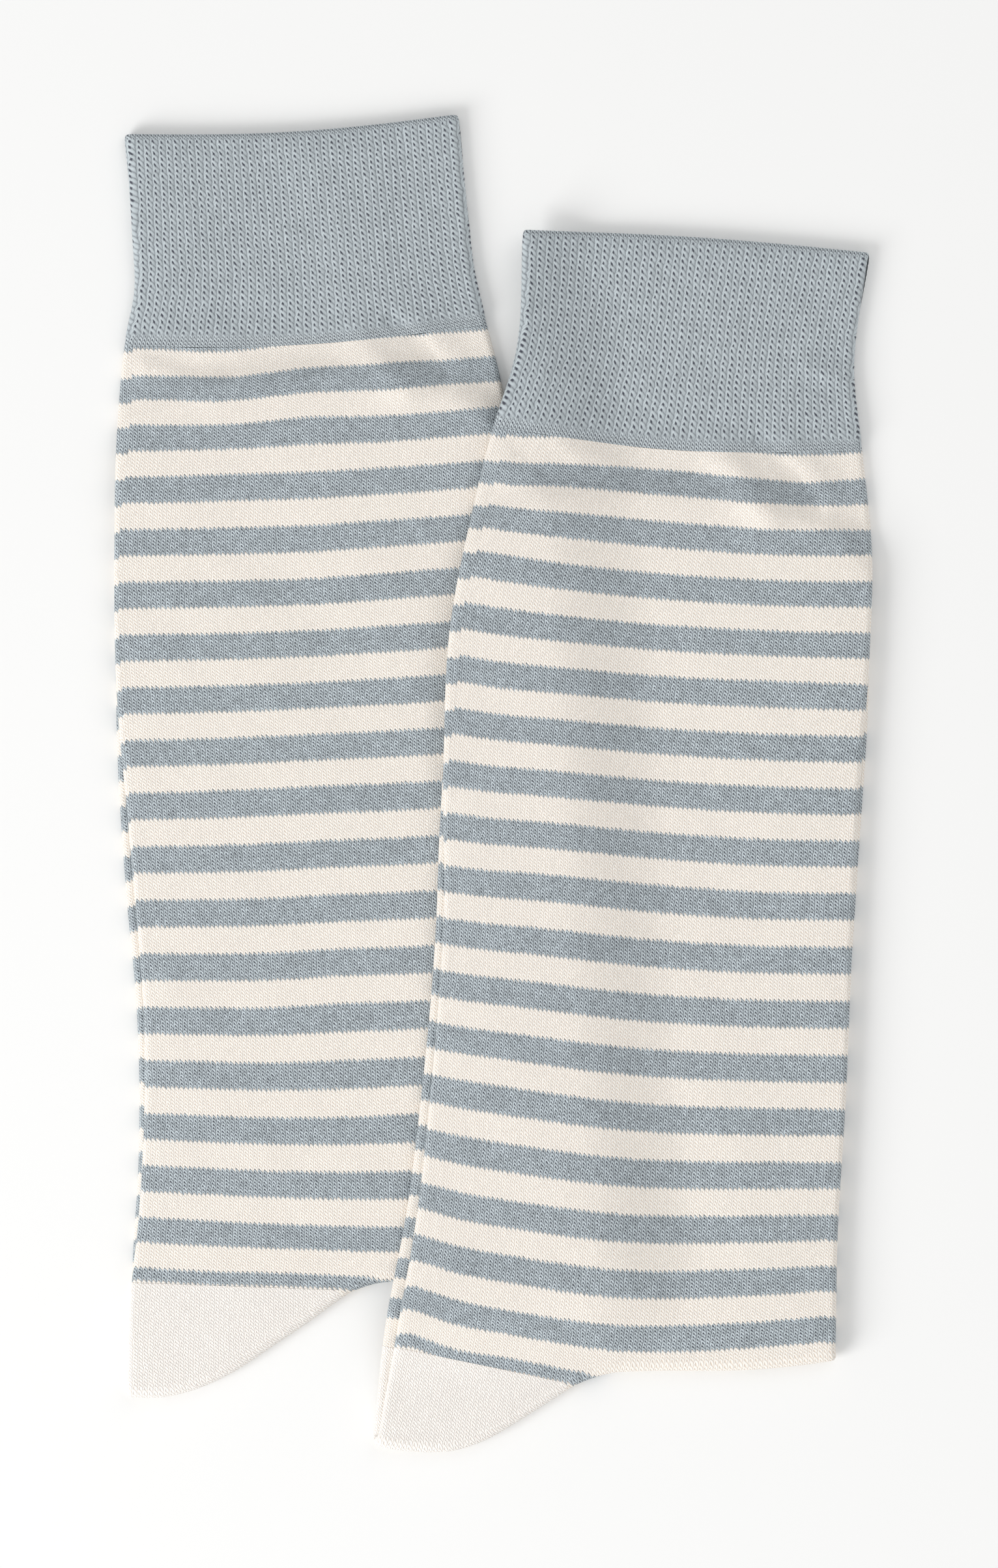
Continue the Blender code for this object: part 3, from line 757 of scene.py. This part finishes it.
def make_yarn():
    """Group: the colour of cotton yarn with shade painted in between the loops, mottled and a little
    uneven.
    """
    tree, given, out = new_group(
        "yarn_with_painted_shade", ("Lit", "PaintedShade", "Depth", "Chance", "Mottle"), ("Colour",)
    )
    place = tree.nodes.new("ShaderNodeTexCoord").outputs["Object"]
    # Painted shade: the yarn's lit colour turns to the dark shade colour where the shade mask is
    # deep.
    colour = mixed(tree, given.outputs["Depth"], given.outputs["Lit"], given.outputs["PaintedShade"])
    patches = noise(tree, place, scale=330.0, detail=4.0)
    patches = step_up(tree, patches, 0.3, 0.7, low=-0.2, high=0.2)
    grain = noise(tree, place, scale=1500.0, detail=2.0)
    grain = step_up(tree, grain, 0.25, 0.75, low=-0.5, high=0.5)
    each = maths(tree, "SUBTRACT", given.outputs["Chance"], 0.5)
    uneven = maths(tree, "ADD", maths(tree, "ADD", patches, grain), each)
    share = maths(tree, "MULTIPLY_ADD", uneven, given.outputs["Mottle"], 1.0)
    scaled = tree.nodes.new("ShaderNodeVectorMath")
    scaled.operation = "SCALE"
    wire(tree, colour, scaled.inputs["Vector"])
    wire(tree, share, scaled.inputs["Scale"])
    wire(tree, scaled.outputs["Vector"], out.inputs["Colour"])
    return tree


STITCHES = make_stitches()
YARN = make_yarn()


def placed(tree, group, **values):
    """A node group in a material, with its inputs set or linked. An underscore stands for a space."""
    node = tree.nodes.new("ShaderNodeGroup")
    node.node_tree = group
    for name, value in values.items():
        wire(tree, value, node.inputs[name.replace("_", " ")])
    return node.outputs


def linear(code):
    """The colour that a six-digit code names, as the shader reads it."""
    parts = [int(code[i : i + 2], 16) / 255 for i in (0, 2, 4)]
    return (*(c / 12.92 if c <= 0.04045 else ((c + 0.055) / 1.055) ** 2.4 for c in parts), 1.0)


# Lit is each yarn's own colour. The second colour is painted shade, for the dark between its loops.
BLUE_YARN = {"Lit": linear("C5CFD4"), "PaintedShade": linear("44454F"), "Mottle": 0.24}
CREAM_YARN = {"Lit": linear("FEFAF3"), "PaintedShade": linear("EFDFCF"), "Mottle": 0.04}
JERSEY_LOOP = {"Left_Fall": 1.3, "Right_Fall": 0.85, "Slant": 0.8, "Gap": 0.65, "Tremble": 1.0}


def spun(tree, loops, yarn):
    """The colour of these loops in this yarn, with its painted shade between them."""
    return placed(tree, YARN, Depth=loops["Depth"], Chance=loops["Chance"], **yarn)["Colour"]


def new_cotton(name):
    """A cotton material: its tree, its shader, and the wale and course that the UV map gives."""
    material = bpy.data.materials.new(name)
    material.use_nodes = True
    tree = material.node_tree
    shader = tree.nodes["Principled BSDF"]
    shader.inputs["Roughness"].default_value = 0.95
    shader.inputs["Specular IOR Level"].default_value = 0.15
    shader.inputs["Sheen Weight"].default_value = 0.08
    shader.inputs["Sheen Roughness"].default_value = 0.6
    knit = tree.nodes.new("ShaderNodeUVMap")
    apart = tree.nodes.new("ShaderNodeSeparateXYZ")
    wire(tree, knit.outputs["UV"], apart.inputs["Vector"])
    return material, tree, shader, apart.outputs["X"], apart.outputs["Y"]


def raise_stitches(tree, shader, height, depth_mm):
    """Gives the shader the relief of the stitches."""
    bump = tree.nodes.new("ShaderNodeBump")
    bump.inputs["Strength"].default_value = 1.0
    bump.inputs["Distance"].default_value = depth_mm * MM
    wire(tree, height, bump.inputs["Height"])
    wire(tree, bump.outputs["Normal"], shader.inputs["Normal"])


def make_striped(sock):
    """Plain knit whose yarn changes every eight courses, with the jog where each round starts."""
    material, tree, shader, wale, course = new_cotton(f"{sock.name}_striped_jersey")
    behind = maths(tree, "LESS_THAN", wale, sock.jog)
    course = maths(tree, "SUBTRACT", course, behind)
    loops = placed(tree, STITCHES, Wale=wale, Course=course, **JERSEY_LOOP)
    number = loops["Loop Course"]
    in_stripe = maths(tree, "FLOORED_MODULO", number, STRIPE)
    blue = maths(tree, "LESS_THAN", in_stripe, STRIPE / 2 - 0.5)
    past_thin = maths(tree, "GREATER_THAN", number, HEEL_COURSE - 0.5)
    in_heel = maths(tree, "LESS_THAN", number, HEEL_COURSE + STRIPE / 2 - 0.5)
    plain = maths(tree, "MULTIPLY", past_thin, in_heel)
    blue = maths(tree, "MULTIPLY", blue, maths(tree, "SUBTRACT", 1.0, plain))
    colours = (spun(tree, loops, yarn) for yarn in (CREAM_YARN, BLUE_YARN))
    wire(tree, mixed(tree, blue, *colours), shader.inputs["Base Color"])
    raise_stitches(tree, shader, loops["Height"], depth_mm=0.11)
    return material


STRIPED = {sock.name: make_striped(sock) for sock in PAIR}


def rows_between(start, end, count):
    """Rows from start to end, which may differ by column."""
    return [start + (end - start) * share for share in np.linspace(0, 1, count)]


def make_leg(sock):
    """The leg down to the heel, and the instep's part of it on round the fold."""
    ring = whole_tube(sock)
    front, back = instep_front(sock), instep_back(sock)
    across, end, _, _ = fold_axis(sock, ring)
    over_heel = heel_columns(sock)
    end[over_heel] = heel_top_at(sock, across[over_heel]) - SEAM / 2
    start = cuff_end_at(sock, ring[:, 0]) + SEAM / 2
    length = sock.heel_top - sock.cuff_end
    points, wales, courses = [], [], []
    for down in rows_between(start, end, 1 + round(length / ROW_HEIGHT)):
        across = column_at(edges_at(sock.leg, down), ring, JERSEY_TUBE, WALL_MIDDLE)
        points.append(on_leg(sock, ring, down))
        wales.append(wale_at(sock, ring, down))
        courses.append(course_at(sock, across, down) + spiral(ring))
    bm = bmesh.new()
    lay_sheet(bm, points, wales, courses)
    for half, place in ((front, slice(0, len(front))), (back, slice(-len(back), None))):
        _, fold, _, _ = fold_axis(sock, half)
        turned, turned_courses = [points[-1][place]], [courses[-1][place]]
        for angle in np.linspace(0, math.pi, TURN_STEPS + 1)[1:]:
            turned.append(on_fold(sock, half, angle))
            turned_courses.append(courses[-1][place] + angle * TURN / COURSE)
        turned.append(on_foot(sock, half, fold - RUN_ON))
        turned_courses.append(turned_courses[-1] + RUN_ON / COURSE)
        lay_sheet(bm, turned, [wales[-1][place]] * len(turned), turned_courses)
    leg = make_piece(bm, f"{sock.name}_leg_cloth", STRIPED[sock.name], JERSEY)
    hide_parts(f"{sock.name}_leg")


for sock in PAIR:
    make_leg(sock)

# ------------------------------------------------------------------------------
# The two ribbed cuffs. Each is knitted in one with its leg, in a thicker one-and-one rib of the
# blue-grey yarn, with a few plain courses at each end. It grips the calf, so it lies narrower.

RIB = 1.5  # wall of the ribbed cuff
RIB_TUBE = 2 * RIB + GAP
RIBS = 43  # over the cuff's front
RIB_COURSE = 1.31  # height of a course of rib
# Lit is the rib yarn's own colour. The second, dark colour is painted shade between its loops and
# ribs.
RIB_YARN = {"Lit": linear("C4CDD1"), "PaintedShade": linear("4A4C57"), "Mottle": 0.10}
RIB_LOOP = {"Left_Fall": 1.4, "Right_Fall": 0.9, "Slant": 0.55, "Gap": 0.42, "Tremble": 0.8}
RIB_ROUND = 0.7  # power of the curve over a rib
RIB_LEVEL = 0.6  # share of a rib's height at which the wall keeps its own radius
RIB_RELIEF = 0.30  # how far a rib stands above the valley beside it
FLOOR_RELIEF = 0.12  # the same where the ribs are pressed on the floor
COURSE_RELIEF = 0.10  # of each loop along a rib
RIM_PLAIN = 1.3  # how far the plain courses at the rim reach
RIM_SMOOTH = 0.3  # share of that reach over which no rib stands up
END_PLAIN = 2.5  # how far the plain courses above the leg reach
END_SMOOTH = 1.0  # how far above the leg the ribs are quite gone
RIM_REACH = 0.8  # how far in from the rim its rounding starts
CUFF_COLUMNS = 6  # of the mesh, to a rib
CUFF_ROW = 0.44  # height of the mesh's rows on the outside
RIM_STEPS = 6  # over the rounded rim
INNER_ROWS = 8
FIRST_COURSE = -STRIPE / 2  # the course that the leg starts at


def cuff_ring():
    """Columns round the cuff, CUFF_COLUMNS to a rib, from the right edge round the front."""
    shares = np.linspace(1, 0, 1 + RIBS * CUFF_COLUMNS)
    quarter = np.linspace(0, math.pi / 2, 2 * ARC_STEPS + 1)[:-1]
    half_turn = np.linspace(0, math.pi, 4 * ARC_STEPS + 1)[1:-1]
    ring = [(1, math.cos(angle), math.sin(angle), 0) for angle in quarter]
    ring += [(share, 0, 1, 0) for share in shares]
    ring += [(0, -math.sin(angle), math.cos(angle), angle / math.pi) for angle in half_turn]
    ring += [(share, 0, -1, 1) for share in shares[::-1]]
    ring += [(1, math.cos(angle), -math.sin(angle), 1) for angle in quarter[::-1]]
    return np.array(ring)


def make_cuff_material(sock):
    """Blue-grey rib, which turns to plain knit at both ends of the cuff."""
    material, tree, shader, wale, course = new_cotton(f"{sock.name}_ribbed_cotton")
    rib = maths(tree, "MULTIPLY", wale, 0.5)
    rib_course = maths(tree, "MULTIPLY", course, COURSE / RIB_COURSE)
    ribs = placed(tree, STITCHES, Wale=rib, Course=rib_course, **RIB_LOOP)
    plain = placed(tree, STITCHES, Wale=wale, Course=course, **JERSEY_LOOP)

    def course_above(leg_mm):
        """The course that lies this far above the leg."""
        return FIRST_COURSE - leg_mm / COURSE

    at_end = step_up(tree, course, course_above(END_PLAIN + 1.0), course_above(END_PLAIN - 1.2))
    rim_start = sock.cuff_end - RIM_PLAIN
    at_rim = step_up(tree, course, course_above(rim_start - 0.3), course_above(rim_start + 0.6))
    share = maths(tree, "MAXIMUM", at_end, at_rim)
    colours = (spun(tree, loops, RIB_YARN) for loops in (ribs, plain))
    wire(tree, mixed(tree, share, *colours), shader.inputs["Base Color"])
    relief_of_both = mixed(tree, share, ribs["Height"], plain["Height"], "FLOAT")
    raise_stitches(tree, shader, relief_of_both, depth_mm=0.13)
    return material


def cuff_rows(sock, rim, end):
    """Rows down the cuff's outside, up its inside and over its rim.

    Each is (down, side), where side runs from -1 on the inside to 1 on the outside."""
    start = rim + RIM_REACH
    outside = rows_between(start, end, 1 + round((sock.cuff_end - RIM_REACH) / CUFF_ROW))
    rows = [(down, 1.0) for down in outside]
    rows += [(down, -1.0) for down in rows_between(start, end, INNER_ROWS)[::-1]]
    for angle in np.linspace(-math.pi / 2, math.pi / 2, RIM_STEPS + 1)[1:-1]:
        rows.append((rim + RIM_REACH * (1 - math.cos(angle)), math.sin(angle)))
    return rows + rows[:1]


def make_cuff(sock):
    """The cuff as one closed wall, ribbed on the outside and smooth on the inside."""
    ring = cuff_ring()
    rim = sock.rim_dip * np.sin(math.pi * ring[:, 0])
    end = cuff_end_at(sock, ring[:, 0]) - SEAM / 2
    points, wales, courses = [], [], []
    for down, side in cuff_rows(sock, rim, end):
        tube = RIB_TUBE + (JERSEY_TUBE - RIB_TUBE) * eased((down - end) / END_PLAIN + 1)
        middle, half = (tube + GAP) / 4, (tube - GAP) / 4
        wale = wale_at(sock, ring, down)
        from_rim = eased((down - rim) / RIM_PLAIN - RIM_SMOOTH)
        ribbed = from_rim * (1 - eased((down - end + END_SMOOTH) / END_PLAIN + 1))
        over_rib = np.abs(np.sin(math.pi * wale / 2)) ** RIB_ROUND
        loop = 0.5 - 0.5 * np.cos(2 * math.pi * (end - down) / RIB_COURSE)
        rise = RIB_RELIEF * (over_rib - RIB_LEVEL) + COURSE_RELIEF * loop * over_rib
        rise = np.where(ring[:, 2] < -0.5, FLOOR_RELIEF * (over_rib - 1), rise)
        radius = middle + half * side + rise * ribbed * max(side, 0)
        across = column_at(edges_at(sock.leg, down), ring, tube, radius)
        plan = to_plan(sock, across, down)
        raised = relief(sock, ring, across, down) * eased((down - rim) / FADE)
        height = ground(sock, plan) + tube / 2 + radius * ring[:, 2] + raised
        points.append(np.column_stack([plan, height]))
        wales.append(wale)
        courses.append(FIRST_COURSE - (end - down) / (end - rim) * sock.cuff_end / COURSE)
    bm = bmesh.new()
    lay_sheet(bm, points, wales, courses)
    cuff = make_piece(bm, f"{sock.name}_cuff_cloth", make_cuff_material(sock))
    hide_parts(f"{sock.name}_cuff")


for sock in PAIR:
    make_cuff(sock)

# ------------------------------------------------------------------------------
# The two heels. Each is a pocket of plain cream knit, turned on half the needles. Folded flat it
# makes the ear at the lower left, and it goes round the fold along its gore to the underside.

# Lit is the heel yarn's own colour. The second colour is painted shade between its loops.
HEEL_YARN = {"Lit": linear("FEFBF6"), "PaintedShade": linear("F6EBE2"), "Mottle": 0.04}
HEEL_ROWS = 24  # on each side of the fold


def make_plain(name, yarn):
    """Plain knit in one yarn."""
    material, tree, shader, wale, course = new_cotton(name)
    loops = placed(tree, STITCHES, Wale=wale, Course=course, **JERSEY_LOOP)
    wire(tree, spun(tree, loops, yarn), shader.inputs["Base Color"])
    raise_stitches(tree, shader, loops["Height"], depth_mm=0.14)
    return material


HEEL_JERSEY = make_plain("heel_jersey", HEEL_YARN)


def make_heel(sock):
    """The heel's ear, from its first course round the fold and back underneath."""
    ring = heel_half(sock)
    across, fold, _, _ = fold_axis(sock, ring)
    first = heel_top_at(sock, across) + SEAM / 2
    wale = wale_at(sock, ring, first)
    first_course = HEEL_COURSE + spiral(ring)
    at_fold = first_course + (fold - first) / COURSE
    points, courses = [], []
    for down in rows_between(first, fold, HEEL_ROWS)[:-1]:
        points.append(on_leg(sock, ring, down))
        courses.append(first_course + (down - first) / COURSE)
    for angle in np.linspace(0, math.pi, TURN_STEPS + 1):
        points.append(on_fold(sock, ring, angle))
        courses.append(at_fold + angle * TURN / COURSE)
    under_fold = courses[-1]
    for down in rows_between(fold, first, HEEL_ROWS)[1:]:
        points.append(on_foot(sock, ring, down))
        courses.append(under_fold + (fold - down) / COURSE)
    bm = bmesh.new()
    lay_sheet(bm, points, [wale] * len(points), courses)
    heel = make_piece(bm, f"{sock.name}_heel_cloth", HEEL_JERSEY, JERSEY)
    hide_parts(f"{sock.name}_heel")


for sock in PAIR:
    make_heel(sock)

# ------------------------------------------------------------------------------
# The two feet. Each is the striped tube again, folded back behind its leg and lying on the floor
# with the sole and the instep pressed together. Its stripes run on from the heel to the toe.

SOLE_LIFT = 0.22  # how far soft creases lift the underside off the floor
WAVE_SHARE, CREASE_SHARE = 0.4, 0.8  # of that lift
SOLE_FADE = 10.0  # over which they fade towards the foot's ends
SOLE_SIDE = 0.1  # the same towards its sides, as a share of its width
SOLE_END = 240.0  # how far down they reach
SOLE_CREASE = 62.0  # from one crease to the next
SOLE_CREASE_WIDTH = 3.5
SOLE_SLANT = 34.0  # how far down a crease runs as it crosses the sole
SOLE_WAVES = ((41, 0.8), (97, -1.3))  # the length of each wave, and its turns across the sole
FOOT_WALES = 200.0  # how far down the leg the wales stand as they do all along the foot


def foot_course_at(sock, down):
    """The foot's course at each distance down: they count on from the heel, up the sock."""
    downs, courses = zip(*sock.foot_courses)
    return through(downs, courses, down)


def sole_relief(ring, down):
    """Soft creases across the underside."""
    share = ring[..., 0]
    waves = math.prod(
        np.sin(2 * math.pi * (down / length + share * turns)) for length, turns in SOLE_WAVES
    )
    from_crease = (down + SOLE_SLANT * share) % SOLE_CREASE - SOLE_CREASE / 2
    crease = np.exp(-((from_crease / SOLE_CREASE_WIDTH) ** 2))
    inside = eased(np.minimum(share, 1 - share) / SOLE_SIDE) * np.clip(ring[..., 2], 0, 1)
    inside = inside * eased((down - TOE_SEAM) / SOLE_FADE) * eased((SOLE_END - down) / SOLE_FADE)
    return SOLE_LIFT * np.clip(WAVE_SHARE * waves + CREASE_SHARE * crease, 0, 1) * inside


def make_foot(sock):
    """The foot, from the toe's seam down to where it meets the heel and the turned instep."""
    ring = whole_tube(sock)
    across, fold, _, _ = fold_axis(sock, ring)
    at_heel = heel_top_at(sock, across) - SEAM / 2
    end = np.minimum(fold - RUN_ON - SEAM, at_heel)
    heel = heel_columns(sock)
    between_gores = slice(heel.start + 1, heel.stop - 1)
    end[between_gores] = at_heel[between_gores]
    wale = wale_at(sock, ring, FOOT_WALES)
    length = sock.heel_top - TOE_SEAM
    points, courses = [], []
    for down in rows_between(TOE_SEAM + SEAM / 2, end, 1 + round(length / ROW_HEIGHT)):
        laid = on_foot(sock, ring, down)
        laid[:, 2] += sole_relief(ring, down)
        points.append(laid)
        courses.append(foot_course_at(sock, down) + spiral(ring))
    bm = bmesh.new()
    lay_sheet(bm, points, [wale] * len(points), courses)
    foot = make_piece(bm, f"{sock.name}_foot_cloth", STRIPED[sock.name], JERSEY)
    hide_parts(f"{sock.name}_foot")


for sock in PAIR:
    make_foot(sock)

# ------------------------------------------------------------------------------
# The two toes. Each is a rounded cap of plain cream knit that narrows by lost stitches at both
# sides, and it is linked shut across its end. It lies hidden behind the leg, below the cuff.

TOE_JERSEY = make_plain("toe_jersey", CREAM_YARN)
TOE_ROWS = 34
TOE_CLOSE = 0.97  # share of the toe's length from which its two layers close up
TOE_LAST = 0.99  # the share at which they meet


def make_toe(sock):
    """The toe's cap, from its seam with the foot to its closed end."""
    ring = whole_tube(sock)
    wale = wale_at(sock, ring, FOOT_WALES)
    seam = TOE_SEAM - SEAM / 2
    points, courses = [], []
    for row in range(TOE_ROWS + 1):
        share = TOE_LAST * math.sin(math.pi / 2 * row / TOE_ROWS)
        past_close = max(0.0, share - TOE_CLOSE) / (TOE_LAST - TOE_CLOSE)
        radius = WALL_MIDDLE * math.sqrt(max(0.0, 1 - past_close**2))
        down = np.full(len(ring), seam + (TOE_TIP - seam) * share)
        points.append(on_foot(sock, ring, down, radius))
        courses.append(foot_course_at(sock, down) + spiral(ring))
    bm = bmesh.new()
    lay_sheet(bm, points, [wale] * len(points), courses)
    toe = make_piece(bm, f"{sock.name}_toe_cloth", TOE_JERSEY, JERSEY)
    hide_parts(f"{sock.name}_toe")


for sock in PAIR:
    make_toe(sock)

# ------------------------------------------------------------------------------
# The floor, the lights and the camera. The floor is a plain pale sheet under the whole pair, the
# light is broad and soft, and the camera looks straight down.

FLOOR_SIZE = 3.0  # metres, as are the lights' and the camera's places
VIEW_HEIGHT = 0.3552  # of the floor that the camera sees
VIEW_CENTRE = (0.0013, -0.0001)
LENS = 300.0  # long, so that the view is nearly flat
SENSOR = 36.0

floor_mesh = bpy.data.meshes.new("floor")
bm = bmesh.new()
bmesh.ops.create_grid(bm, x_segments=1, y_segments=1, size=FLOOR_SIZE)
bmesh.ops.translate(bm, verts=bm.verts, vec=(0, 0, cad_low.z))
bm.to_mesh(floor_mesh)
bm.free()
floor = bpy.data.objects.new("floor", floor_mesh)
bpy.context.scene.collection.objects.link(floor)
paper = bpy.data.materials.new("pale_paper")
paper.use_nodes = True
paper_shader = paper.node_tree.nodes["Principled BSDF"]
paper_shader.inputs["Base Color"].default_value = linear("FBFBFA")
paper_shader.inputs["Roughness"].default_value = 0.9
floor_mesh.materials.append(paper)

world = bpy.data.worlds.new("soft_studio")
world.use_nodes = True
backdrop = world.node_tree.nodes["Background"]
backdrop.inputs["Color"].default_value = (1.0, 1.0, 1.0, 1.0)
backdrop.inputs["Strength"].default_value = 0.59
bpy.context.scene.world = world


def add_light(name, place, size, power):
    """A square area light that faces the middle of the pair."""
    light = bpy.data.lights.new(name, "AREA")
    light.shape = "SQUARE"
    light.size = size
    light.energy = power
    lamp = bpy.data.objects.new(name, light)
    lamp.location = place
    lamp.rotation_euler = (-lamp.location).to_track_quat("-Z", "Y").to_euler()
    bpy.context.scene.collection.objects.link(lamp)


add_light("window", place=(-1.3, -0.9, 0.9), size=1.0, power=21.5)
add_light("fill", place=(0.9, 1.0, 1.3), size=1.6, power=6.0)

camera_data = bpy.data.cameras.new("camera")
camera_data.lens = LENS
camera_data.sensor_width = SENSOR
camera_data.clip_end = 20.0
camera = bpy.data.objects.new("camera", camera_data)
camera.location = (*VIEW_CENTRE, VIEW_HEIGHT * LENS / SENSOR)
bpy.context.scene.collection.objects.link(camera)
bpy.context.scene.camera = camera
bpy.context.scene.view_settings.view_transform = "Standard"
